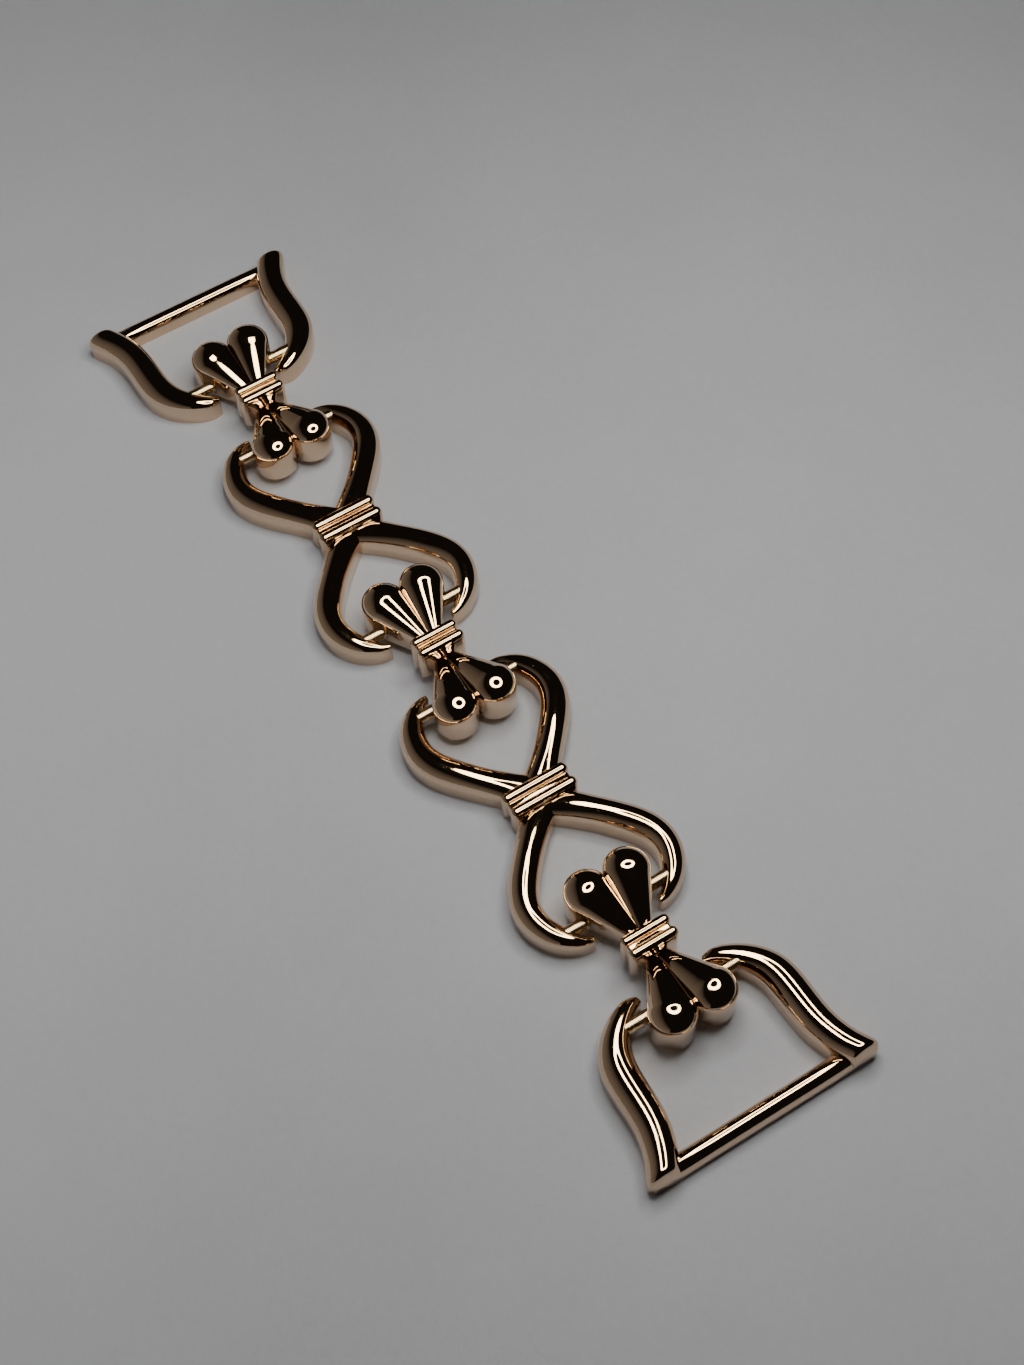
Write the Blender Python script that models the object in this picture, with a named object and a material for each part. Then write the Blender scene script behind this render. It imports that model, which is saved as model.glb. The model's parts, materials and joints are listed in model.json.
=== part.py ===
"""Articulated cast strap link: two end frames, two figure-eight links, three double-heart
knuckles and six hinge pins.  Metres, +Z up, the chain along X, the origin at the middle of
the surface it lies on.  Every length below is in millimetres and is turned into metres by MM.
"""
import math

import bmesh
import bpy
from mathutils import Vector
from mathutils.geometry import interpolate_bezier

MM = 0.001

# ---- chain ----
PITCH = 22.0              # middle of a knuckle to middle of the next link
PIN_REACH = 6.2           # middle of a knuckle to each of its pins
PIN_HEIGHT = 2.6          # pin axis above the surface the chain lies on

# ---- pins ----
PIN_RADIUS = 0.75
PIN_CHAMFER = 0.15
PIN_DEPTH = 1.9           # how far a pin goes into each arm
BORE_CLEARANCE = 0.05     # radial, pin in knuckle
SEAT_CLEARANCE = 0.03     # radial, pin in the blind hole of an arm
END_CLEARANCE = 0.10      # pin end to the bottom of its blind hole
PIN_SIDES = 24

# ---- figure-eight link ----
LINK_HALF_WIDTH = 10.3    # middle line to the widest outside edge
LINK_WIDEST = 12.3        # where that is, from the middle of the link
LINK_ARM_WIDTH = 3.4
LINK_THROAT = 3.3         # middle of the link to the inside corner of each loop
LINK_MOUTH = 4.1          # middle line to the inside of each arm tip
LINK_WALL = 2.3           # height of the upright side walls
LINK_CROWN = 1.65         # rise of the rounded top above the walls
WAIST_DIP = 0.33          # share of the crown lost where an arm runs under the band
WAIST_LENGTH = 8.0        # length over which it is lost

# ---- end frame, measured from its pin ----
FRAME_LENGTH = 15.8       # pin axis to the flat end face
FRAME_HALF_WIDTH = 12.2   # middle line to the outside of the straight part of an arm
FRAME_FOOT_HALF = 14.2    # middle line to the point of a foot
FRAME_ARM_WIDTH = 3.95
FRAME_MOUTH = 3.9
FRAME_WALL = 2.3
FRAME_CROWN = 1.7
FOOT_HIP = 1.5            # length over which the crown falls to the end face
BAR_WIDTH = 2.35
BAR_WALL = 1.1
BAR_CROWN = 1.3

# ---- tips shared by links and frames ----
TIP_REACH = 2.3           # how far an arm tip goes past the pin, towards the knuckle
TIP_HALF = 0.22           # half width of the blunted point

# ---- heart knuckle ----
KNUCKLE_BOTTOM = 1.45     # above the surface the chain lies on
KNUCKLE_WALL = 3.6        # upright sides of the petals
PETAL_RADIUS = 2.65       # round end of a petal, seen from above
PETAL_RISE = 1.7          # crown of a petal above its wall
LOBE_X = 8.15             # middle of a petal's round end
LOBE_Y = 2.5
NECK_X = 1.4              # where a petal starts, under the band
NECK_Y = 0.5
NECK_HALF = 0.75
NECK_DROP = 1.2           # how much lower the wall is at the neck than at the round end
DROP_CURVE = 1.6          # 1 falls evenly; more falls mostly near the neck

# ---- bands: two rounded ridges over a lower core ----
LINK_BAND = {"ridge_at": 1.0, "ridge_width": 1.45, "half_length": 4.25, "top": 4.3,
             "foot": 0.25, "core_half": 1.85, "core_length": 3.95, "core_top": 3.7}
KNUCKLE_BAND = {"ridge_at": 0.81, "ridge_width": 1.2, "half_length": 3.0, "top": 6.4,
                "foot": 1.6, "core_half": 1.5, "core_length": 2.7, "core_top": 5.8}
RIDGE_SEGMENTS = 4
CORE_BEVEL = 0.35

ARM_STEPS = 4             # stations between neighbouring outline points
CROWN_STEPS = 6           # facets across a crown
PETAL_STEPS = 4           # stations along the straight part of a petal
LOBE_STEPS = 6            # stations round its end


def remove_everything():
    for thing in list(bpy.data.objects):
        bpy.data.objects.remove(thing, do_unlink=True)


def metal(name, colour, roughness):
    material = bpy.data.materials.new(name)
    material.use_nodes = True
    shader = material.node_tree.nodes["Principled BSDF"]
    shader.inputs["Base Color"].default_value = (*colour, 1.0)
    shader.inputs["Metallic"].default_value = 1.0
    shader.inputs["Roughness"].default_value = roughness
    return material


# ---------------------------------------------------------------- curves and sections

def smooth_curve(points, steps):
    """A smooth curve through plan points; each neighbour pair gives one Bezier stretch."""
    points = [Vector(p).to_3d() for p in points]
    count = len(points)
    slopes = []
    for i in range(count):
        before, after = points[max(i - 1, 0)], points[min(i + 1, count - 1)]
        slopes.append((after - before).normalized())
    curve = []
    for i in range(count - 1):
        reach = (points[i + 1] - points[i]).length / 3.0
        handle_out = points[i] + slopes[i] * reach
        handle_in = points[i + 1] - slopes[i + 1] * reach
        stretch = interpolate_bezier(points[i], handle_out, handle_in, points[i + 1], steps + 1)
        curve += stretch if i == 0 else stretch[1:]
    return curve


def crowned_section(inner, outer, bottom, wall, rise):
    """Closed loop: up the inner wall, over an elliptical crown, down the outer wall."""
    across = outer - inner
    loop = [Vector((inner.x, inner.y, bottom))]
    for i in range(CROWN_STEPS + 1):
        angle = math.pi * i / CROWN_STEPS
        place = inner + across * (0.5 - 0.5 * math.cos(angle))
        loop.append(Vector((place.x, place.y, bottom + wall + rise * math.sin(angle))))
    loop.append(Vector((outer.x, outer.y, bottom)))
    return loop


def loft(name, loops):
    """A closed solid through a row of loops with flat end caps."""
    mesh = bpy.data.meshes.new(name)
    bm = bmesh.new()
    rings = [[bm.verts.new(point * MM) for point in loop] for loop in loops]
    size = len(rings[0])
    for ring, following in zip(rings, rings[1:]):
        for i in range(size):
            j = (i + 1) % size
            bm.faces.new((ring[i], ring[j], following[j], following[i]))
    bm.faces.new(rings[0])
    bm.faces.new(list(reversed(rings[-1])))
    bmesh.ops.recalc_face_normals(bm, faces=bm.faces)
    bm.to_mesh(mesh)
    bm.free()
    return helper(name, mesh)


def helper(name, mesh):
    thing = bpy.data.objects.new(name, mesh)
    bpy.context.collection.objects.link(thing)
    return thing


def block(name, low, high, bevel=0.0, segments=1, keep_bottom=True):
    """A box between two corners, its edges rounded, except round the bottom if kept sharp."""
    mesh = bpy.data.meshes.new(name)
    bm = bmesh.new()
    bmesh.ops.create_cube(bm, size=1.0)
    low, high = Vector(low), Vector(high)
    for vert in bm.verts:
        vert.co = Vector(low[i] + (vert.co[i] + 0.5) * (high[i] - low[i]) for i in range(3)) * MM
    if bevel > 0.0:
        floor = low.z * MM + 1e-7
        edges = [e for e in bm.edges
                 if not (keep_bottom and all(v.co.z < floor for v in e.verts))]
        bmesh.ops.bevel(bm, geom=edges, offset=bevel * MM, segments=segments, profile=0.5,
                        affect="EDGES", clamp_overlap=True)
    bmesh.ops.recalc_face_normals(bm, faces=bm.faces)
    bm.to_mesh(mesh)
    bm.free()
    return helper(name, mesh)


def rod(name, x, z, half, radius, chamfer=0.0):
    """A round bar along Y, centred on the middle line."""
    mesh = bpy.data.meshes.new(name)
    bm = bmesh.new()
    profile = [(-half, 0.0), (-half, radius - chamfer), (-half + chamfer, radius),
               (half - chamfer, radius), (half, radius - chamfer), (half, 0.0)]
    if chamfer == 0.0:
        profile = [(-half, 0.0), (-half, radius), (half, radius), (half, 0.0)]
    line = [bm.verts.new(Vector((x, y, z + r)) * MM) for y, r in profile]
    edges = [bm.edges.new(pair) for pair in zip(line, line[1:])]
    bmesh.ops.spin(bm, geom=line + edges, cent=Vector((x, 0, z)) * MM, axis=(0, 1, 0),
                   angle=2 * math.pi, steps=PIN_SIDES, use_merge=True)
    bmesh.ops.remove_doubles(bm, verts=bm.verts, dist=1e-7)
    bmesh.ops.recalc_face_normals(bm, faces=bm.faces)
    bm.to_mesh(mesh)
    bm.free()
    return helper(name, mesh)


def combine(name, base, others, operation):
    """Boolean the others into the base and give back the result as a plain mesh."""
    for other in others:
        step = base.modifiers.new(other.name, "BOOLEAN")
        step.operation = operation
        step.solver = "EXACT"
        step.object = other
    bpy.context.view_layer.update()
    graph = bpy.context.evaluated_depsgraph_get()
    mesh = bpy.data.meshes.new_from_object(base.evaluated_get(graph))
    mesh.name = name
    for thing in [base, *others]:
        bpy.data.objects.remove(thing, do_unlink=True)
    return mesh


def mirrored(name, thing, x_sign, y_sign):
    """A copy of a helper reflected through the XZ or YZ plane, or both."""
    mesh = thing.data.copy()
    for vert in mesh.vertices:
        vert.co.x *= x_sign
        vert.co.y *= y_sign
    if x_sign * y_sign < 0:
        mesh.flip_normals()
    return helper(name, mesh)


def smooth(mesh):
    mesh.shade_smooth()
    mesh.set_sharp_from_angle(angle=math.radians(38))


# ---------------------------------------------------------------- pieces

def band(prefix, sizes):
    """Two rounded ridges round a lower core; gives the list of overlapping solids."""
    solids = []
    for side in (-1, 1):
        middle = side * sizes["ridge_at"]
        half = sizes["ridge_width"] / 2
        solids.append(block(prefix + "_ridge", (middle - half, -sizes["half_length"], sizes["foot"]),
                            (middle + half, sizes["half_length"], sizes["top"]),
                            bevel=half * 0.92, segments=RIDGE_SEGMENTS))
    core_foot = sizes["foot"] + 0.1
    solids.append(block(prefix + "_core", (-sizes["core_half"], -sizes["core_length"], core_foot),
                        (sizes["core_half"], sizes["core_length"], sizes["core_top"]),
                        bevel=CORE_BEVEL, segments=2))
    return solids


def link_outlines():
    """Outside and inside edge of one arm, from under the band to the tip, seen from above."""
    pin_x = PITCH - PIN_REACH
    tip_x = pin_x + TIP_REACH
    top_in = LINK_HALF_WIDTH - LINK_ARM_WIDTH
    width = LINK_ARM_WIDTH
    outer = [(-0.5, 1.9),
             (LINK_THROAT * 0.9, 4.75),
             (LINK_WIDEST * 0.5, 7.75),
             (LINK_WIDEST - 3.2, LINK_HALF_WIDTH - 0.6),
             (LINK_WIDEST, LINK_HALF_WIDTH),
             (pin_x - 0.3, LINK_HALF_WIDTH - 1.15),
             (tip_x - 0.85, LINK_MOUTH + 3.35),
             (tip_x, LINK_MOUTH + 1.35),
             (tip_x + 0.1, LINK_MOUTH + 0.1)]
    inner = [(1.6, -1.9),
             (LINK_THROAT + 1.75, 4.75 - width * 0.72),
             (LINK_WIDEST - 4.0, 7.75 - width * 0.8),
             (LINK_WIDEST - 1.5, top_in - 0.15),
             (LINK_WIDEST + 0.6, top_in + 0.05),
             (pin_x - 1.3, top_in - 0.45),
             (pin_x + 0.2, LINK_MOUTH + 1.5),
             (tip_x - 0.95, LINK_MOUTH + 0.62),
             (tip_x - 2 * TIP_HALF + 0.1, LINK_MOUTH)]
    return outer, inner


def frame_outlines():
    """The same two edges for one arm of an end frame, from the tip to the foot."""
    tip_x = -TIP_REACH - 0.2
    in_y = FRAME_HALF_WIDTH - FRAME_ARM_WIDTH
    end = FRAME_LENGTH
    outer = [(tip_x - 0.1, FRAME_MOUTH + 0.35),
             (tip_x - 0.45, FRAME_MOUTH + 1.75),
             (tip_x + 0.75, FRAME_MOUTH + 4.5),
             (tip_x + 3.1, FRAME_HALF_WIDTH - 1.3),
             (tip_x + 6.2, FRAME_HALF_WIDTH - 0.05),
             (end - 6.6, FRAME_HALF_WIDTH - 0.1),
             (end - 3.3, FRAME_FOOT_HALF - 1.3),
             (end, FRAME_FOOT_HALF)]
    inner = [(tip_x + 2 * TIP_HALF, FRAME_MOUTH),
             (tip_x + 1.5, FRAME_MOUTH + 1.3),
             (tip_x + 3.3, in_y - 1.35),
             (tip_x + 5.1, in_y - 0.45),
             (tip_x + 7.0, in_y - 0.15),
             (end - 6.0, in_y + 0.05),
             (end - 2.6, in_y + 1.1),
             (end, FRAME_FOOT_HALF - 3.5)]
    return outer, inner


def arm(name, outlines, wall, crown, full_width, hip_at=None, dip=0.0):
    outer, inner = (smooth_curve(edge, ARM_STEPS) for edge in outlines)
    loops = []
    for outside, inside in zip(outer, inner):
        width = (outside - inside).length
        rise = crown * min(1.0, width / full_width)
        if hip_at is not None:
            middle = (outside.x + inside.x) / 2
            left = max(0.0, min(1.0, (hip_at - middle) / FOOT_HIP))
            rise *= math.sqrt(1.0 - (1.0 - left) ** 2)
            rise = max(rise, 0.02)
        away = min(1.0, max(0.0, (outside + inside).length / 2 / WAIST_LENGTH))
        rise *= 1.0 - dip * (1.0 - away) ** 2
        loops.append(crowned_section(inside, outside, 0.0, wall, rise))
    return loft(name, loops)


def pin_half(mouth_at_pin):
    return mouth_at_pin + PIN_DEPTH


def edge_at(edge, x):
    """Distance of an outline from the middle line at the given place along the chain."""
    points = smooth_curve(edge, ARM_STEPS)
    for first, second in zip(points, points[1:]):
        if (first.x - x) * (second.x - x) <= 0.0 and first.y > 0.0:
            share = (x - first.x) / (second.x - first.x)
            return first.y + share * (second.y - first.y)
    return points[-1].y


def link_pin_half():
    return pin_half(edge_at(link_outlines()[1], PITCH - PIN_REACH))


def frame_pin_half():
    return pin_half(edge_at(frame_outlines()[1], 0.0))


def make_link():
    """Built about its own middle, then shifted so its inboard pin is at the origin."""
    first = arm("link_arm", link_outlines(), LINK_WALL, LINK_CROWN, LINK_ARM_WIDTH,
                dip=WAIST_DIP)
    others = [mirrored("link_arm", first, sx, sy) for sx, sy in ((1, -1), (-1, 1), (-1, -1))]
    others += band("link_band", LINK_BAND)
    body = helper("link_body", combine("link", first, others, "UNION"))
    pin_x = PITCH - PIN_REACH
    holes = [rod("blind_hole", side * pin_x, PIN_HEIGHT, link_pin_half() + END_CLEARANCE,
                 PIN_RADIUS + SEAT_CLEARANCE) for side in (-1, 1)]
    mesh = combine("figure_link", body, holes, "DIFFERENCE")
    shift(mesh, pin_x, -PIN_HEIGHT)
    smooth(mesh)
    return mesh


def make_frame():
    """Built about its pin: two arms and the strap bar between their feet."""
    first = arm("frame_arm", frame_outlines(), FRAME_WALL, FRAME_CROWN, FRAME_ARM_WIDTH,
                hip_at=FRAME_LENGTH)
    second = mirrored("frame_arm", first, 1, -1)
    loops = []
    reach = FRAME_FOOT_HALF - 2.0
    for y in (-reach, reach):
        near = Vector((FRAME_LENGTH - BAR_WIDTH, y, 0.0))
        far = Vector((FRAME_LENGTH - 0.01, y, 0.0))
        loops.append(crowned_section(near, far, 0.0, BAR_WALL, BAR_CROWN))
    bar = loft("strap_bar", loops)
    body = helper("frame_body", combine("frame", first, [second, bar], "UNION"))
    hole = rod("blind_hole", 0.0, PIN_HEIGHT, frame_pin_half() + END_CLEARANCE,
               PIN_RADIUS + SEAT_CLEARANCE)
    mesh = combine("end_frame", body, [hole], "DIFFERENCE")
    shift(mesh, 0.0, -PIN_HEIGHT)
    smooth(mesh)
    return mesh


def petal(name):
    """A teardrop seen from above: straight sides that run tangent into a round end."""
    start = Vector((NECK_X, NECK_Y, 0.0))
    lobe = Vector((LOBE_X, LOBE_Y, 0.0))
    along = (lobe - start).normalized()
    sideways = Vector((-along.y, along.x, 0.0))
    length = (lobe - start).length
    taper = math.asin((PETAL_RADIUS - NECK_HALF) / length)
    for _ in range(4):
        taper = math.asin((PETAL_RADIUS - NECK_HALF * math.cos(taper)) / length)
    tangent_at = length - PETAL_RADIUS * math.sin(taper)
    stations = []
    for i in range(PETAL_STEPS):
        s = tangent_at * i / PETAL_STEPS
        stations.append((s, NECK_HALF + s * math.tan(taper)))
    for i in range(LOBE_STEPS + 1):
        turn = -taper + (math.pi / 2 - 0.06 + taper) * i / LOBE_STEPS
        stations.append((length + PETAL_RADIUS * math.sin(turn), PETAL_RADIUS * math.cos(turn)))
    loops = []
    for s, half in stations:
        middle = start + along * s
        drop = NECK_DROP * max(0.0, 1.0 - s / length) ** DROP_CURVE
        loops.append(crowned_section(middle - sideways * half, middle + sideways * half,
                                     KNUCKLE_BOTTOM, KNUCKLE_WALL - drop,
                                     PETAL_RISE * half / PETAL_RADIUS))
    return loft(name, loops)


def make_knuckle():
    """Four petals, two at each end, joined by a banded waist; built about its middle."""
    first = petal("petal")
    others = [mirrored("petal", first, sx, sy) for sx, sy in ((1, -1), (-1, 1), (-1, -1))]
    others += band("knuckle_band", KNUCKLE_BAND)
    body = helper("knuckle_body", combine("knuckle", first, others, "UNION"))
    through = LOBE_Y + PETAL_RADIUS + 1.0
    bores = [rod("bore", side * PIN_REACH, PIN_HEIGHT, through, PIN_RADIUS + BORE_CLEARANCE)
             for side in (-1, 1)]
    mesh = combine("heart_knuckle", body, bores, "DIFFERENCE")
    shift(mesh, 0.0, -PIN_HEIGHT)
    smooth(mesh)
    return mesh


def make_pin(name, half):
    pin = rod(name, 0.0, 0.0, half, PIN_RADIUS, PIN_CHAMFER)
    mesh = pin.data
    bpy.data.objects.remove(pin, do_unlink=True)
    mesh.name = name
    smooth(mesh)
    return mesh


def shift(mesh, x, z):
    for vert in mesh.vertices:
        vert.co.x += x * MM
        vert.co.z += z * MM


def place(name, mesh, material, x, turned=False):
    """Put a piece with its joint axis at x; turned pieces face the other way along X."""
    thing = bpy.data.objects.new(name, mesh)
    bpy.context.collection.objects.link(thing)
    thing.location = (x * MM, 0.0, PIN_HEIGHT * MM)
    thing.rotation_euler = (0.0, 0.0, math.pi if turned else 0.0)
    if not mesh.materials:
        mesh.materials.append(material)
    thing.material_slots[0].link = "OBJECT"
    thing.material_slots[0].material = material
    return thing


def outer_knuckle_mesh(mesh):
    """The knuckle again, with its inboard pin at the origin."""
    copy = mesh.copy()
    copy.name = "outer_heart_knuckle"
    shift(copy, PIN_REACH, 0.0)
    return copy


def build():
    remove_everything()
    rose = metal("rose_gold_plate", (0.86, 0.62, 0.47), 0.08)
    rose_knuckle = metal("rose_gold_plate_knuckle", (0.88, 0.64, 0.49), 0.08)
    rose_frame = metal("rose_gold_plate_frame", (0.84, 0.61, 0.46), 0.08)
    plated_pin = metal("plated_pin", (0.88, 0.72, 0.60), 0.15)

    link = make_link()
    frame = make_frame()
    knuckle = make_knuckle()
    outer_knuckle = outer_knuckle_mesh(knuckle)
    link_pin = make_pin("link_pin", link_pin_half())
    frame_pin = make_pin("frame_pin", frame_pin_half())

    inboard = PIN_REACH                       # middle knuckle to a link
    outboard = 2 * PITCH - PIN_REACH          # link to an outer knuckle
    far = 2 * PITCH + PIN_REACH               # outer knuckle to an end frame

    place("heart_knuckle_2", knuckle, rose_knuckle, 0.0)
    for link_no, knuckle_no, frame_no, turned in ((1, 1, 1, True), (2, 3, 2, False)):
        side = -1 if turned else 1
        place(f"figure_link_{link_no}", link, rose, side * inboard, turned)
        place(f"heart_knuckle_{knuckle_no}", outer_knuckle, rose_knuckle, side * outboard, turned)
        place(f"end_frame_{frame_no}", frame, rose_frame, side * far, turned)
    for number, (x, mesh) in enumerate(((-far, frame_pin), (-outboard, link_pin),
                                        (-inboard, link_pin), (inboard, link_pin),
                                        (outboard, link_pin), (far, frame_pin)), start=1):
        place(f"hinge_pin_{number}", mesh, plated_pin, x)


build()
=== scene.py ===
"""Finish of the jointed strap connector: polished rose-gold castings on plain pins, on pale paper.

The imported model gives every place: pin axes come from its joints, outside sizes from its boxes.
Each casting is modelled once about its own middle, copied, and put where its node is.
"""
import json
import math
from collections import namedtuple

import bmesh
import bpy
from mathutils import Matrix, Vector
from mathutils.geometry import interpolate_bezier


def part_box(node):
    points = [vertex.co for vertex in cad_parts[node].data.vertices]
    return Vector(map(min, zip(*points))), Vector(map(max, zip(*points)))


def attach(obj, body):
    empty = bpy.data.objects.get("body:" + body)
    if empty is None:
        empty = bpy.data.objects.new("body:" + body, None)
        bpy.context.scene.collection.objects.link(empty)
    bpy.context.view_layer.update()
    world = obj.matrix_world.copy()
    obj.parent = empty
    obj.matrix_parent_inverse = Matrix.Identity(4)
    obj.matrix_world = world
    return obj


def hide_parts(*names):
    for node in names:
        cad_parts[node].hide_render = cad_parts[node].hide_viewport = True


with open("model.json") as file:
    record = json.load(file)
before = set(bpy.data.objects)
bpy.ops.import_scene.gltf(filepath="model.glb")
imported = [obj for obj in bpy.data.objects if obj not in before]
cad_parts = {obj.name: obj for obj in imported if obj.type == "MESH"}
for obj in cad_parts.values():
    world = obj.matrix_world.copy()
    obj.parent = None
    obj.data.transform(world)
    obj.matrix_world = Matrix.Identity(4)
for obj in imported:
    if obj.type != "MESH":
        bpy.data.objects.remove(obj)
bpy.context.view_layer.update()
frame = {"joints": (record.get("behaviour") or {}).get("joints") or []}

MM = 0.001
PINS = {j["name"]: Vector(j["pos_m"]) for j in frame["joints"] if j["type"] == "hinge"}
PIN_HEIGHT = PINS["link_2_hinge"].z
LINK_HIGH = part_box("figure_link_2")[1]
FRAME_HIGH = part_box("end_frame_2")[1]
KNUCKLE_LOW, KNUCKLE_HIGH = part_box("heart_knuckle_2")

# ---- figure-eight link, from its middle ----
LINK_PIN_X = (PINS["pin_5_hinge"].x - PINS["link_2_hinge"].x) / 2
LINK_HALF_WIDTH = LINK_HIGH.y
LINK_WIDEST = 12.3 * MM
LINK_ARM_WIDTH = 3.4 * MM
LINK_THROAT = 3.3 * MM
LINK_MOUTH = 4.1 * MM
LINK_CROWN = 1.65 * MM
LINK_WALL = 2.3 * MM
WAIST_DIP = 0.5               # share of the crown lost where an arm runs under the band
WAIST_LENGTH = 9 * MM         # length over which it is lost

# ---- end frame, from its pin ----
FRAME_LENGTH = FRAME_HIGH.x - PINS["frame_2_hinge"].x
FRAME_HALF_WIDTH = 12.2 * MM
FRAME_FOOT_HALF = FRAME_HIGH.y
FRAME_ARM_WIDTH = 3.95 * MM
FRAME_MOUTH = 3.9 * MM
FRAME_CROWN = 1.7 * MM
FRAME_WALL = FRAME_HIGH.z - FRAME_CROWN
FOOT_HIP = 0.8 * MM
BAR_WIDTH = 2.35 * MM
BAR_WALL = 1.1 * MM
BAR_CROWN = 1.3 * MM
BAR_INSET = 2.0 * MM          # from the outside of a foot to the end of the bar

# ---- pins and their holes ----
PIN_LOW, PIN_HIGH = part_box("hinge_pin_4")
PIN_RADIUS = (PIN_HIGH.z - PIN_LOW.z) / 2
SEAT_CLEARANCE = 0.03 * MM
BORE_CLEARANCE = 0.05 * MM
END_CLEARANCE = 0.1 * MM
PIN_CHAMFER = 0.15 * MM
LINK_PIN_HALF = PIN_HIGH.y + END_CLEARANCE
FRAME_PIN_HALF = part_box("hinge_pin_6")[1].y + END_CLEARANCE

# ---- tips shared by links and frames ----
TIP_REACH = 2.3 * MM          # how far a tip goes past the pin
TIP_HALF = 0.36 * MM          # half width of the blunted point

# ---- heart knuckle, from its middle ----
PETAL_RADIUS = 2.65 * MM
PETAL_RISE = 1.7 * MM
PETAL_TOP = KNUCKLE_HIGH.z
PETAL_BASE = KNUCKLE_LOW.z
LOBE_X = 8.15 * MM
LOBE_Y = 2.5 * MM
NECK_X = 1.4 * MM
NECK_Y = 0.5 * MM
NECK_HALF = 0.75 * MM
EARLY_FALL = 0.15             # slope of a petal's crest just behind its round end
LATE_FALL = 0.006 / MM        # how that slope steepens towards the neck
FALL_START = 0.5 * MM         # length over which the first slope sets in
DRILL_OVERRUN = 1 * MM

# ---- bands: two rounded ridges over a lower core ----
Band = namedtuple("Band", "ridge_at ridge_width half_length top foot "
                          "core_half core_length core_top")
LINK_BAND = Band(1.0 * MM, 1.45 * MM, 4.25 * MM, LINK_HIGH.z, 0.25 * MM,
                 1.85 * MM, 3.95 * MM, 3.7 * MM)
KNUCKLE_BAND = Band(0.81 * MM, 1.2 * MM, 3.0 * MM, 6.4 * MM, 1.6 * MM,
                    1.5 * MM, 2.7 * MM, 5.8 * MM)

RIDGE_ROUND = 0.94            # share of a ridge's half width that is rounded over
CORE_ROUND = 0.35 * MM
CORE_LIFT = 0.1 * MM          # the core's underside above the ridges'

EDGE_SOFTNESS = 0.10 * MM     # radius worn onto every cast edge by polishing
LEAST_RISE = 0.02 * MM        # lowest an arched top may get
ARCH_SEGMENTS = 12            # facets on each half of an arched top
PETAL_STEPS = 16              # stations along the straight part of a petal
PETAL_SEGMENTS = 72           # facets round a petal's round end
PETAL_RINGS = 48              # rings of facets from its middle to its rim
LINE_STEPS = 7                # stations between two plan points of an arm
ROUND_SIDES = 48              # sides of a pin and of its hole
PLACE_ROUNDS = 12             # how often a row of places along an arm is evened out
TURN_ROUNDS = 24              # the same for its turns and widths
RISE_ROUNDS = 6               # the same for its crown
CLOSE = 0.002 * MM            # points nearer than this are one point


# ---------------------------------------------------------------- working in edit mode

def only(thing):
    bpy.ops.object.select_all(action="DESELECT")
    thing.select_set(True)
    bpy.context.view_layer.objects.active = thing


def fresh(name):
    """The primitive just added, renamed, its turn and place moved into its mesh."""
    thing = bpy.context.active_object
    thing.name = thing.data.name = name
    bpy.ops.object.transform_apply(location=True, rotation=True, scale=True)
    return thing


def open_up(thing):
    only(thing)
    bpy.ops.object.mode_set(mode="EDIT")
    bpy.ops.mesh.select_mode(type="VERT")


def close_up():
    bpy.ops.object.mode_set(mode="OBJECT")


def pick(rule):
    """Select the points of the open mesh that fit the rule, and nothing else."""
    mesh = bpy.context.active_object.data
    points = bmesh.from_edit_mesh(mesh)
    for vert in points.verts:
        vert.select = rule(vert)
    points.select_flush_mode()
    bmesh.update_edit_mesh(mesh)


def picked():
    points = bmesh.from_edit_mesh(bpy.context.active_object.data)
    return {vert.index for vert in points.verts if vert.select}


def pick_edges(rule):
    mesh = bpy.context.active_object.data
    bpy.ops.mesh.select_mode(type="EDGE")
    shape = bmesh.from_edit_mesh(mesh)
    for edge in shape.edges:
        edge.select = rule(edge)
    shape.select_flush_mode()
    bmesh.update_edit_mesh(mesh)


def stretch(value, middle):
    bpy.ops.transform.resize(value=value, center_override=middle)


def tidy_shell():
    """Weld doubled points and turn every face outwards."""
    bpy.ops.mesh.select_all(action="SELECT")
    bpy.ops.mesh.remove_doubles(threshold=CLOSE)
    bpy.ops.mesh.normals_make_consistent(inside=False)


def soften(thing):
    """Round every hard edge, then shade the rest smooth."""
    only(thing)
    bevel = thing.modifiers.new("polished_edges", "BEVEL")
    bevel.limit_method = "ANGLE"
    bevel.angle_limit = math.radians(40)
    bevel.width = EDGE_SOFTNESS
    bevel.segments = 2
    bpy.ops.object.modifier_apply(modifier=bevel.name)
    bpy.ops.object.shade_smooth_by_angle(angle=math.radians(42))


def copied(thing, name, across=(1, 1, 1)):
    """A copy with its own mesh, reflected where across is -1."""
    only(thing)
    bpy.ops.object.duplicate()
    copy = bpy.context.active_object
    copy.name = copy.data.name = name
    copy.scale = across
    bpy.ops.object.transform_apply(location=False, rotation=False, scale=True)
    if across[0] * across[1] * across[2] < 0:
        open_up(copy)
        bpy.ops.mesh.select_all(action="SELECT")
        bpy.ops.mesh.normals_make_consistent(inside=False)
        close_up()
    return copy


def joined(name, things):
    bpy.ops.object.select_all(action="DESELECT")
    for thing in things:
        thing.select_set(True)
    bpy.context.view_layer.objects.active = things[0]
    bpy.ops.object.join()
    whole = bpy.context.active_object
    whole.name = whole.data.name = name
    return whole


# ---------------------------------------------------------------- curved arms

Station = namedtuple("Station", "middle angle width rise")


def flowing(points):
    """A dense smooth line through a few plan points, its ends kept."""
    points = [Vector(point).to_3d() for point in points]
    last = len(points) - 1
    leans = [(points[min(i + 1, last)] - points[max(i - 1, 0)]).normalized()
             for i in range(last + 1)]
    line = [points[0]]
    for i in range(last):
        third = (points[i + 1] - points[i]).length / 3
        line += interpolate_bezier(points[i], points[i] + leans[i] * third,
                                   points[i + 1] - leans[i + 1] * third,
                                   points[i + 1], LINE_STEPS + 1)[1:]
    return line


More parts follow.
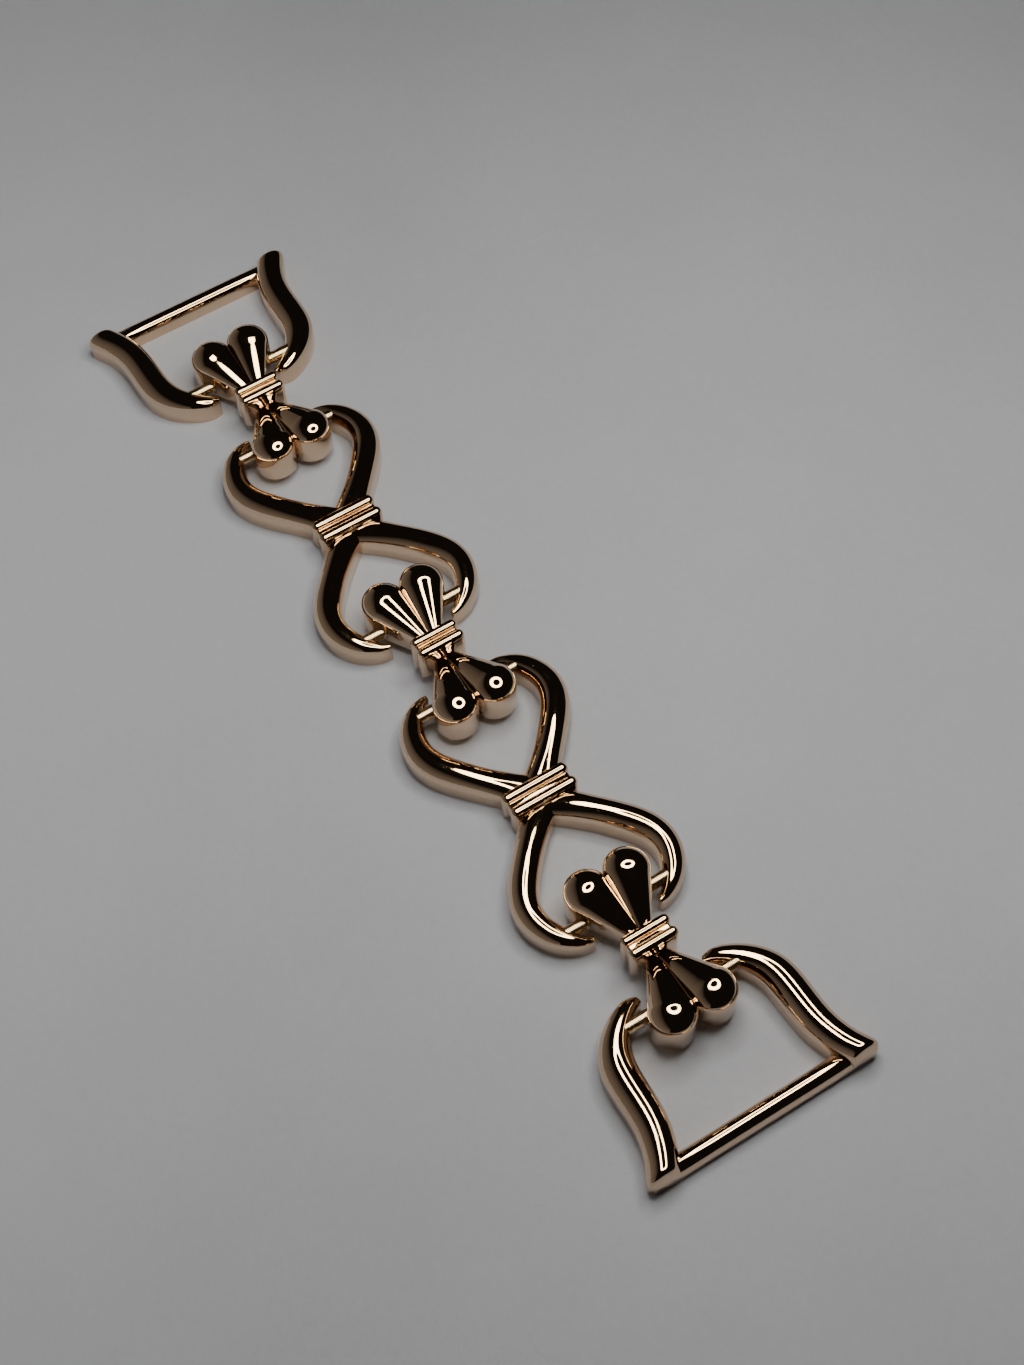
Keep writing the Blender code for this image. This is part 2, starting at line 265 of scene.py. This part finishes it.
def evened(values, rounds):
    """Smooth a row of values along an arm, its ends kept."""
    for _ in range(rounds):
        inner = [(a + b * 2 + c) / 4 for a, b, c in zip(values, values[1:], values[2:])]
        values = [values[0], *inner, values[-1]]
    return values


def stations_between(outer, inner, crown, full_width, hip_end=None, dip=0.0):
    """Where the section stands, which way it faces, how wide it is and how high it arches."""
    stations = []
    for outside, inside in zip(flowing(outer), flowing(inner)):
        across = outside - inside
        middle = (outside + inside) / 2
        rise = crown * min(1.0, across.length / full_width)
        if hip_end is not None:
            left = min(1.0, max(0.0, (hip_end - middle.x) / FOOT_HIP))
            rise *= math.sqrt(1 - (1 - left) ** 2)
        rise *= 1 - dip * (1 - min(1.0, middle.length / WAIST_LENGTH)) ** 2
        stations.append(Station(middle, math.atan2(-across.x, across.y), across.length,
                                max(rise, LEAST_RISE)))
    angles = [stations[0].angle]
    for station in stations[1:]:
        turn = (station.angle - angles[-1] + math.pi) % math.tau - math.pi
        angles.append(angles[-1] + turn)
    return [Station(*row) for row in zip(
        evened([s.middle for s in stations], PLACE_ROUNDS), evened(angles, TURN_ROUNDS),
        evened([s.width for s in stations], TURN_ROUNDS),
        evened([s.rise for s in stations], RISE_ROUNDS))]


def arched_plate(name, start, wall):
    """The first section: a plate standing across X, with straight sides and an arched top."""
    half = start.width / 2
    bpy.ops.mesh.primitive_plane_add(size=1, location=(0, 0, 0), rotation=(0, math.pi / 2, 0))
    plate = fresh(name)
    open_up(plate)
    bpy.ops.mesh.select_all(action="SELECT")
    stretch((1, start.width, wall + half), (0, 0, 0))
    bpy.ops.transform.translate(value=(0, 0, (wall + half) / 2))
    pick(lambda vert: vert.co.z > wall)
    bpy.ops.mesh.bevel(offset=half * 0.998, segments=ARCH_SEGMENTS, profile=0.5,
                       affect="VERTICES")
    pick(lambda vert: vert.co.z > wall + half * 0.01)
    stretch((1, 1, start.rise / half), (0, 0, wall))
    bpy.ops.mesh.select_all(action="SELECT")
    bpy.ops.mesh.remove_doubles(threshold=CLOSE)
    bpy.ops.mesh.select_all(action="SELECT")
    bpy.ops.transform.rotate(value=-start.angle, orient_axis="Z", center_override=(0, 0, 0))
    bpy.ops.transform.translate(value=start.middle)
    return plate


def arm(name, stations, wall):
    """Pull the arched section through its stations, turning, widening and lifting it."""
    made = arched_plate(name, stations[0], wall)
    for here, after in zip(stations, stations[1:]):
        bpy.ops.mesh.extrude_region_move(
            TRANSFORM_OT_translate={"value": after.middle - here.middle})
        bpy.ops.transform.rotate(value=here.angle - after.angle, orient_axis="Z",
                                 center_override=after.middle)
        grow = after.width / here.width
        stretch((grow, grow, 1), after.middle)
        lift = after.rise / here.rise
        if abs(lift - 1) > 0.001:
            ring = picked()
            pick(lambda vert: vert.index in ring and vert.co.z > wall + 0.001 * MM)
            stretch((1, 1, lift), (0, 0, wall))
            pick(lambda vert: vert.index in ring)
    tidy_shell()
    close_up()
    return made


def link_arm():
    tip = LINK_PIN_X + TIP_REACH
    inside = LINK_HALF_WIDTH - LINK_ARM_WIDTH
    outer = [(-0.5 * MM, 1.9 * MM), (LINK_THROAT * 0.9, 4.75 * MM),
             (LINK_WIDEST * 0.5, 7.75 * MM),
             (LINK_WIDEST - 3.2 * MM, LINK_HALF_WIDTH - 0.6 * MM),
             (LINK_WIDEST, LINK_HALF_WIDTH),
             (LINK_PIN_X - 0.3 * MM, LINK_HALF_WIDTH - 1.15 * MM),
             (tip - 0.85 * MM, LINK_MOUTH + 3.35 * MM),
             (tip, LINK_MOUTH + 1.35 * MM),
             (tip + 0.1 * MM, LINK_MOUTH + 0.1 * MM)]
    inner = [(1.6 * MM, -1.9 * MM),
             (LINK_THROAT + 1.75 * MM, 4.75 * MM - LINK_ARM_WIDTH * 0.72),
             (LINK_WIDEST - 4.0 * MM, 7.75 * MM - LINK_ARM_WIDTH * 0.8),
             (LINK_WIDEST - 1.5 * MM, inside - 0.15 * MM),
             (LINK_WIDEST + 0.6 * MM, inside + 0.05 * MM),
             (LINK_PIN_X - 1.3 * MM, inside - 0.45 * MM),
             (LINK_PIN_X + 0.2 * MM, LINK_MOUTH + 1.5 * MM),
             (tip - 0.95 * MM, LINK_MOUTH + 0.62 * MM),
             (tip - 2 * TIP_HALF + 0.1 * MM, LINK_MOUTH)]
    stations = stations_between(outer, inner, LINK_CROWN, LINK_ARM_WIDTH, dip=WAIST_DIP)
    return arm("link_arm", stations, LINK_WALL)


def frame_arm():
    tip = -TIP_REACH - 0.2 * MM
    inside = FRAME_HALF_WIDTH - FRAME_ARM_WIDTH
    end = FRAME_LENGTH
    outer = [(tip - 0.1 * MM, FRAME_MOUTH + 0.35 * MM), (tip - 0.45 * MM, FRAME_MOUTH + 1.75 * MM),
             (tip + 0.75 * MM, FRAME_MOUTH + 4.5 * MM),
             (tip + 3.1 * MM, FRAME_HALF_WIDTH - 1.3 * MM),
             (tip + 6.2 * MM, FRAME_HALF_WIDTH - 0.05 * MM),
             (end - 6.6 * MM, FRAME_HALF_WIDTH - 0.1 * MM),
             (end - 3.3 * MM, FRAME_FOOT_HALF - 1.3 * MM),
             (end - 1.3 * MM, FRAME_FOOT_HALF - 0.2 * MM),
             (end - 0.6 * MM, FRAME_FOOT_HALF),
             (end, FRAME_FOOT_HALF - 0.65 * MM)]
    inner = [(tip + 2 * TIP_HALF, FRAME_MOUTH), (tip + 1.5 * MM, FRAME_MOUTH + 1.3 * MM),
             (tip + 3.3 * MM, inside - 1.35 * MM), (tip + 5.1 * MM, inside - 0.45 * MM),
             (tip + 7.0 * MM, inside - 0.15 * MM), (end - 6.0 * MM, inside + 0.05 * MM),
             (end - 2.6 * MM, inside + 1.1 * MM), (end - 1.1 * MM, inside + 1.9 * MM),
             (end - 0.5 * MM, inside + 2.2 * MM), (end, FRAME_FOOT_HALF - 3.5 * MM)]
    stations = stations_between(outer, inner, FRAME_CROWN, FRAME_ARM_WIDTH, hip_end=end)
    return arm("frame_arm", stations, FRAME_WALL)


# ---------------------------------------------------------------- bands, petals, bar, pins

def rounded_block(name, low, high, radius, segments):
    """A block between two corners with its top and side edges rounded over."""
    bpy.ops.mesh.primitive_cube_add(size=1, location=(low + high) / 2)
    block = fresh(name)
    open_up(block)
    bpy.ops.mesh.select_all(action="SELECT")
    stretch(high - low, (low + high) / 2)
    floor = low.z + CLOSE
    pick_edges(lambda edge: any(vert.co.z > floor for vert in edge.verts))
    bpy.ops.mesh.bevel(offset=radius, segments=segments, profile=0.5, affect="EDGES")
    tidy_shell()
    close_up()
    return block


def band(name, sizes):
    """Two rounded ridges over a lower core."""
    blocks = []
    half = sizes.ridge_width / 2
    for side in (-1, 1):
        middle = side * sizes.ridge_at
        blocks.append(rounded_block(name + "_ridge",
                                    Vector((middle - half, -sizes.half_length, sizes.foot)),
                                    Vector((middle + half, sizes.half_length, sizes.top)),
                                    half * RIDGE_ROUND, 8))
    blocks.append(rounded_block(name + "_core",
                                Vector((-sizes.core_half, -sizes.core_length,
                                        sizes.foot + CORE_LIFT)),
                                Vector((sizes.core_half, sizes.core_length, sizes.core_top)),
                                CORE_ROUND, 4))
    for block in blocks:
        soften(block)
    return blocks


def petal():
    """Half of a flattened ball, its open side drawn back to the neck, on upright walls."""
    neck, lobe = Vector((NECK_X, NECK_Y, 0)), Vector((LOBE_X, LOBE_Y, 0))
    length = (lobe - neck).length
    shoulder = PETAL_TOP - PETAL_RISE
    taper = math.asin((PETAL_RADIUS - NECK_HALF) / length)
    cut = length - PETAL_RADIUS * math.sin(taper)
    bpy.ops.mesh.primitive_uv_sphere_add(segments=PETAL_SEGMENTS, ring_count=PETAL_RINGS,
                                         radius=PETAL_RADIUS, location=(length, 0, 0),
                                         rotation=(0, math.pi / 2, 0))
    made = fresh("petal")
    open_up(made)
    bpy.ops.mesh.select_all(action="SELECT")
    bpy.ops.mesh.bisect(plane_co=(0, 0, 0), plane_no=(0, 0, -1), clear_outer=True,
                        threshold=CLOSE / 10)
    bpy.ops.mesh.select_all(action="SELECT")
    bpy.ops.mesh.bisect(plane_co=(cut, 0, 0), plane_no=(-1, 0, 0), clear_outer=True,
                        threshold=CLOSE / 10)
    pick(lambda vert: abs(vert.co.x - cut) < CLOSE)
    half = PETAL_RADIUS * math.cos(taper)
    for step in range(1, PETAL_STEPS + 1):
        place = cut * (1 - step / PETAL_STEPS)
        bpy.ops.mesh.extrude_region_move(
            TRANSFORM_OT_translate={"value": (-cut / PETAL_STEPS, 0, 0)})
        after = NECK_HALF * math.cos(taper) + place * math.tan(taper)
        stretch((1, after / half, after / half), (place, 0, 0))
        half = after
    bpy.ops.mesh.select_all(action="SELECT")
    stretch((1, 1, PETAL_RISE / PETAL_RADIUS), (0, 0, 0))
    bpy.ops.transform.translate(value=(0, 0, shoulder))
    pick(lambda vert: vert.co.z < shoulder + CLOSE)
    bpy.ops.mesh.extrude_region_move(
        TRANSFORM_OT_translate={"value": (0, 0, PETAL_BASE - shoulder)})
    stretch((1, 1, 0), (0, 0, PETAL_BASE))
    columns = sorted({round(vert.co.x, 8) for vert in
                      bmesh.from_edit_mesh(made.data).verts if vert.co.x < length})
    for column in columns:
        away = length - max(0.0, column)
        drop = (EARLY_FALL * (math.hypot(away, FALL_START) - FALL_START)
                + LATE_FALL * away ** 2)
        pick(lambda vert: abs(vert.co.x - column) < CLOSE / 4 and vert.co.z > PETAL_BASE + CLOSE)
        bpy.ops.transform.translate(value=(0, 0, -drop))
    bpy.ops.mesh.select_all(action="SELECT")
    bpy.ops.mesh.fill_holes(sides=0)
    lean = math.atan2(lobe.y - neck.y, lobe.x - neck.x)
    bpy.ops.mesh.select_all(action="SELECT")
    bpy.ops.transform.rotate(value=-lean, orient_axis="Z", center_override=(0, 0, 0))
    bpy.ops.transform.translate(value=neck)
    tidy_shell()
    close_up()
    return made


def strap_bar():
    """Round-topped bar between the feet."""
    reach = FRAME_FOOT_HALF - BAR_INSET
    middle = FRAME_LENGTH - BAR_WIDTH / 2
    stations = [Station(Vector((middle, y * reach, 0)), math.pi / 2, BAR_WIDTH, BAR_CROWN)
                for y in (-1, -0.5, 0, 0.5, 1)]
    return arm("strap_bar", stations, BAR_WALL)


def drilled(thing, x, half, radius):
    """Cut the cross hole for a pin, from the middle line out to the given half length."""
    bpy.ops.object.select_all(action="DESELECT")
    bpy.ops.mesh.primitive_cylinder_add(vertices=ROUND_SIDES, radius=radius, depth=2 * half,
                                        location=(x, 0, PIN_HEIGHT),
                                        rotation=(math.pi / 2, 0, 0))
    drill = fresh("drill")
    only(thing)
    cut = thing.modifiers.new("pin_hole", "BOOLEAN")
    cut.operation = "DIFFERENCE"
    cut.solver = "EXACT"
    cut.object = drill
    bpy.ops.object.modifier_apply(modifier=cut.name)
    bpy.data.objects.remove(drill)
    bpy.ops.object.shade_smooth_by_angle(angle=math.radians(35))


def four_ways(thing):
    """The piece and its reflections into the other three quarters."""
    return [thing, *(copied(thing, thing.name, across)
                     for across in ((1, -1, 1), (-1, 1, 1), (-1, -1, 1)))]


def figure_link():
    first = link_arm()
    soften(first)
    drilled(first, LINK_PIN_X, LINK_PIN_HALF, PIN_RADIUS + SEAT_CLEARANCE)
    return joined("figure_link", [*four_ways(first), *band("link_band", LINK_BAND)])


def end_frame():
    first = frame_arm()
    soften(first)
    drilled(first, 0.0, FRAME_PIN_HALF, PIN_RADIUS + SEAT_CLEARANCE)
    bar = strap_bar()
    soften(bar)
    return joined("end_frame", [first, copied(first, "frame_arm", (1, -1, 1)), bar])


def heart_knuckle():
    first = petal()
    soften(first)
    drilled(first, PINS["link_2_hinge"].x, LOBE_Y + PETAL_RADIUS + DRILL_OVERRUN,
            PIN_RADIUS + BORE_CLEARANCE)
    return joined("heart_knuckle", [*four_ways(first), *band("knuckle_band", KNUCKLE_BAND)])


def hinge_pin(node):
    """A plain pin with its end edges rounded over."""
    low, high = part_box(node)
    radius = (high.z - low.z) / 2
    bpy.ops.mesh.primitive_cylinder_add(vertices=ROUND_SIDES, radius=radius,
                                        depth=high.y - low.y, location=(low + high) / 2,
                                        rotation=(math.pi / 2, 0, 0))
    pin = fresh(node + "_plated")
    open_up(pin)
    pick_edges(lambda edge: all(abs(abs(vert.co.y) - high.y) < CLOSE for vert in edge.verts))
    bpy.ops.mesh.bevel(offset=PIN_CHAMFER, segments=3, profile=0.5, affect="EDGES")
    tidy_shell()
    close_up()
    bpy.ops.object.shade_smooth_by_angle(angle=math.radians(42))
    return pin


# ---------------------------------------------------------------- finishes

class Flow:
    """A node's output, so that shader sums read as plain expressions."""

    def __init__(self, finish, socket):
        self.finish, self.socket = finish, socket

    def sum(self, operation, first, second):
        return self.finish.node("ShaderNodeMath", {"operation": operation}, {0: first, 1: second})

    def __add__(self, other):
        return self.sum("ADD", self, other)

    def __sub__(self, other):
        return self.sum("SUBTRACT", self, other)

    def __rsub__(self, other):
        return self.sum("SUBTRACT", other, self)

    def __mul__(self, other):
        return self.sum("MULTIPLY", self, other)

    __radd__ = __add__
    __rmul__ = __mul__


class Finish:
    """A material under construction."""

    def __init__(self, name):
        self.material = bpy.data.materials.new(name)
        self.material.use_nodes = True
        self.tree = self.material.node_tree
        self.shader = self.tree.nodes["Principled BSDF"]
        self.place = self.node("ShaderNodeTexCoord", {}, {}, "Object")

    def feed(self, socket, value):
        if isinstance(value, Flow):
            self.tree.links.new(value.socket, socket)
        else:
            socket.default_value = value

    def node(self, kind, settings, sockets, output=0):
        """Any node: its settings first, then the values or links of its sockets."""
        made = self.tree.nodes.new(kind)
        for name, value in settings.items():
            setattr(made, name, value)
        for name, value in sockets.items():
            self.feed(made.inputs[name], value)
        return Flow(self, made.outputs[output])

    def set(self, **sockets):
        for name, value in sockets.items():
            self.feed(self.shader.inputs[name.replace("_", " ").title()], value)

    def noise(self, scale, detail=2.0, roughness=0.5, place=None):
        return self.node("ShaderNodeTexNoise", {},
                         {"Vector": place or self.place, "Scale": scale, "Detail": detail,
                          "Roughness": roughness})

    def stretched(self, scale, turn):
        """Object coordinates, turned and squeezed, for marks that run one way."""
        return self.node("ShaderNodeMapping", {},
                         {"Vector": self.place, "Scale": scale, "Rotation": turn})

    def above(self, value, low, high):
        """0 below low, 1 above high."""
        return self.node("ShaderNodeMapRange", {"interpolation_type": "SMOOTHSTEP"},
                         {"Value": value, "From Min": low, "From Max": high})

    def blend(self, factor, first, second):
        return self.node("ShaderNodeMix", {"data_type": "RGBA"},
                         {"Factor": factor, 6: (*first, 1), 7: (*second, 1)}, 2)

    def bump(self, height, strength, distance):
        return self.node("ShaderNodeBump", {},
                         {"Height": height, "Strength": strength, "Distance": distance})


def rose_gold(name, deep, pale, base_roughness):
    """Mirror plating over a polished casting: faint colour drift, haze, hairlines and pits."""
    finish = Finish(name)
    drift = finish.noise(130, 2)
    haze = finish.above(finish.noise(420, 3), 0.5, 0.75)
    hairlines = finish.above(
        finish.noise(900, 2, 0.6, finish.stretched((1, 14, 3), (0, 0, 0.6))), 0.66, 0.74)
    pits = finish.above(finish.noise(2600, 1), 0.76, 0.82)
    ripple = finish.noise(240, 1, 0.3)
    finish.set(base_color=finish.blend(drift, deep, pale), metallic=1.0,
               roughness=haze * 0.035 + hairlines * 0.05 + pits * 0.2 + base_roughness,
               normal=finish.bump(ripple * 0.6 - pits * 0.25 - hairlines * 0.03, 0.10,
                                  0.1 * MM))
    return finish.material


def paper():
    """Smooth pale card with a faint cloudy tooth, its colour painted lighter towards one side as a
    pool of light.
    """
    finish = Finish("pale_card")
    cloud = finish.noise(38, 4, 0.6)
    tooth = finish.noise(900, 3, 0.65)
    across = finish.node("ShaderNodeSeparateXYZ", {}, {"Vector": finish.place}, "X")
    along = finish.node("ShaderNodeSeparateXYZ", {}, {"Vector": finish.place}, "Y")
    # painted light: the card's colour is made lighter towards minus x and minus y, a pool of lamp
    # light painted into the floor
    painted_light_side = finish.above(across * -0.52 + along * -0.85, 0.0, 0.085)
    # the blend factor mixes that painted pool of light with the card's own random cloud and tooth
    card_mottle_and_painted_light = painted_light_side * 0.75 + (cloud + tooth * 0.8) * 0.25 - 0.1
    finish.set(base_color=finish.blend(card_mottle_and_painted_light, (0.55, 0.55, 0.567), (0.90, 0.90, 0.92)),
               roughness=tooth * 0.1 + 0.75, normal=finish.bump(tooth, 0.3, 0.1 * MM))
    return finish.material


def glowing(name, colour, strength):
    finish = Finish(name)
    finish.set(base_color=(0, 0, 0, 1), roughness=1.0, emission_color=(*colour, 1),
               emission_strength=strength)
    return finish.material


# ---------------------------------------------------------------- camera, light and floor

LAMP = Vector((8, 40, 162)) * MM
LAMP_RADIUS = 60 * MM
LAMP_HOLE = 34 * MM
LAMP_ON_METAL = 14.0          # strength seen in the castings
LAMP_ON_CARD = 8.2            # strength that lights the floor
FILL_STRENGTH = 0.35
FILL_SIZE = 0.3
FILL_PLACE = (-0.06, -0.17, 0.27)
FLOOR_SIZE = 3
ROOM_STRENGTH = 0.008
SCREEN_BEARING = -112         # degrees
SCREEN_AWAY = 0.4
SCREEN_WIDE = 2.4
SCREEN_HIGH = 0.75
SCREEN_STRENGTH = 0.19        # at the floor, fading to nothing at the top
LENS = 54.07                  # millimetres, on a sensor 36 mm high
CAMERA = Vector((116.33, -50.58, 203.88)) * MM
SIGHT = Vector((-0.4608, 0.2364, -0.8554))
CAMERA_RIGHT = Vector((0.5215, 0.8520, -0.0455))


def camera():
    data = bpy.data.cameras.new("camera")
    data.sensor_fit = "VERTICAL"
    data.sensor_height = 36
    data.lens = LENS
    data.clip_start = 0.005
    eye = bpy.data.objects.new("camera", data)
    bpy.context.scene.collection.objects.link(eye)
    back = -SIGHT.normalized()
    right = (CAMERA_RIGHT - back * CAMERA_RIGHT.dot(back)).normalized()
    up = back.cross(right)
    turn = Matrix((right, up, back)).transposed().to_4x4()
    eye.matrix_world = Matrix.Translation(CAMERA) @ turn
    bpy.context.scene.camera = eye


def ring_lamp(name, colour, strength, height=0.0):
    """A flat lit ring hung over the chain, its lit side down."""
    bpy.ops.object.select_all(action="DESELECT")
    bpy.ops.mesh.primitive_circle_add(vertices=96, radius=LAMP_RADIUS, fill_type="NGON",
                                      location=LAMP + Vector((0, 0, height)))
    lamp = fresh(name)
    open_up(lamp)
    bpy.ops.mesh.select_all(action="SELECT")
    bpy.ops.mesh.inset(thickness=LAMP_RADIUS - LAMP_HOLE)
    bpy.ops.mesh.delete(type="FACE")
    bpy.ops.mesh.select_all(action="SELECT")
    bpy.ops.mesh.flip_normals()
    close_up()
    lamp.data.materials.append(glowing(name + "_glow", colour, strength))
    lamp.visible_camera = lamp.visible_shadow = False
    return lamp


def dim_screen():
    """An upright grey card off to one side, its glow fading with height."""
    bpy.ops.object.select_all(action="DESELECT")
    bpy.ops.mesh.primitive_plane_add(size=1, location=(0, 0, 0), rotation=(math.pi / 2, 0, 0))
    card = fresh("dim_screen")
    open_up(card)
    bpy.ops.mesh.select_all(action="SELECT")
    stretch((SCREEN_WIDE, 1, SCREEN_HIGH), (0, 0, 0))
    bpy.ops.transform.translate(value=(0, 0, SCREEN_HIGH / 2))
    close_up()
    bearing = math.radians(SCREEN_BEARING)
    card.rotation_euler = (0, 0, bearing + math.pi / 2)
    card.location = Vector((math.cos(bearing), math.sin(bearing), 0)) * SCREEN_AWAY
    only(card)
    bpy.ops.object.transform_apply(location=True, rotation=True, scale=True)
    card.data.materials.append(fading_glow("screen_glow", (1.0, 0.90, 0.80), SCREEN_STRENGTH,
                                           SCREEN_HIGH))
    card.visible_camera = False


def fading_glow(name, colour, at_floor, top):
    """Light that weakens with height."""
    finish = Finish(name)
    split = finish.node("ShaderNodeSeparateXYZ", {}, {"Vector": finish.place}, "Z")
    share = finish.node("ShaderNodeMapRange", {}, {"Value": split, "From Min": 0.0,
                                                   "From Max": top})
    glow = finish.blend(share, [part * at_floor for part in colour], (0, 0, 0))
    finish.set(base_color=(0, 0, 0, 1), roughness=1.0, emission_color=glow,
               emission_strength=1.0)
    return finish.material


def soft_fill():
    """A wide overhead card that lights the floor only."""
    bpy.ops.object.select_all(action="DESELECT")
    bpy.ops.mesh.primitive_plane_add(size=FILL_SIZE, location=FILL_PLACE,
                                     rotation=(math.radians(-20), math.radians(-8), 0))
    fill = fresh("soft_fill")
    open_up(fill)
    bpy.ops.mesh.select_all(action="SELECT")
    bpy.ops.mesh.flip_normals()
    close_up()
    fill.data.materials.append(glowing("fill_glow", (0.94, 0.96, 1.0), FILL_STRENGTH))
    fill.visible_camera = False
    fill.visible_glossy = False


def floor():
    bpy.ops.object.select_all(action="DESELECT")
    bpy.ops.mesh.primitive_plane_add(size=FLOOR_SIZE, location=(0, 0, 0))
    card = fresh("card_floor")
    card.data.materials.append(paper())


def room():
    world = bpy.data.worlds.new("dark_room")
    world.use_nodes = True
    background = world.node_tree.nodes["Background"]
    background.inputs["Color"].default_value = (1.0, 0.9, 0.82, 1)
    background.inputs["Strength"].default_value = ROOM_STRENGTH
    bpy.context.scene.world = world


# ---------------------------------------------------------------- putting it together

def put(thing, material, node, x=0.0, facing=1):
    """Place a casting's copy at its node, wear its finish, and ride on its body."""
    only(thing)
    thing.location = (x, 0, 0)
    thing.rotation_euler = (0, 0, 0 if facing > 0 else math.pi)
    bpy.ops.object.transform_apply(location=True, rotation=True, scale=True)
    thing.data.materials.clear()
    thing.data.materials.append(material)
    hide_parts(node)
    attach(thing, node)


camera()
floor()
ring_lamp("paper_lamp", (0.97, 0.98, 1.0), LAMP_ON_CARD, 1 * MM).visible_glossy = False
ring_lamp("ring_lamp", (1.0, 0.93, 0.62), LAMP_ON_METAL).visible_diffuse = False
soft_fill()
dim_screen()
room()

link_gold = rose_gold("rose_gold_link", (0.69, 0.50, 0.34), (0.76, 0.57, 0.41), 0.035)
knuckle_gold = rose_gold("rose_gold_knuckle", (0.70, 0.51, 0.35), (0.77, 0.58, 0.42), 0.03)
frame_gold = rose_gold("rose_gold_frame", (0.69, 0.50, 0.35), (0.76, 0.57, 0.41), 0.035)
pin_gold = rose_gold("plated_pin_gold", (0.60, 0.44, 0.30), (0.68, 0.52, 0.37), 0.22)

link = figure_link()
knuckle = heart_knuckle()
end = end_frame()
link_middle = (PINS["link_2_hinge"].x + PINS["pin_5_hinge"].x) / 2
knuckle_middle = (PINS["pin_5_hinge"].x + PINS["frame_2_hinge"].x) / 2

for number, facing in ((1, -1), (2, 1)):
    put(copied(link, f"link_{number}_casting"), link_gold, f"figure_link_{number}",
        facing * link_middle, facing)
    put(copied(end, f"frame_{number}_casting"), frame_gold, f"end_frame_{number}",
        facing * PINS["frame_2_hinge"].x, facing)
for number, x in ((1, -knuckle_middle), (2, 0.0), (3, knuckle_middle)):
    put(copied(knuckle, f"knuckle_{number}_casting"), knuckle_gold, f"heart_knuckle_{number}",
        x)
for number in range(1, 7):
    node = f"hinge_pin_{number}"
    put(hinge_pin(node), pin_gold, node)
for pattern in (link, knuckle, end):
    bpy.data.objects.remove(pattern)
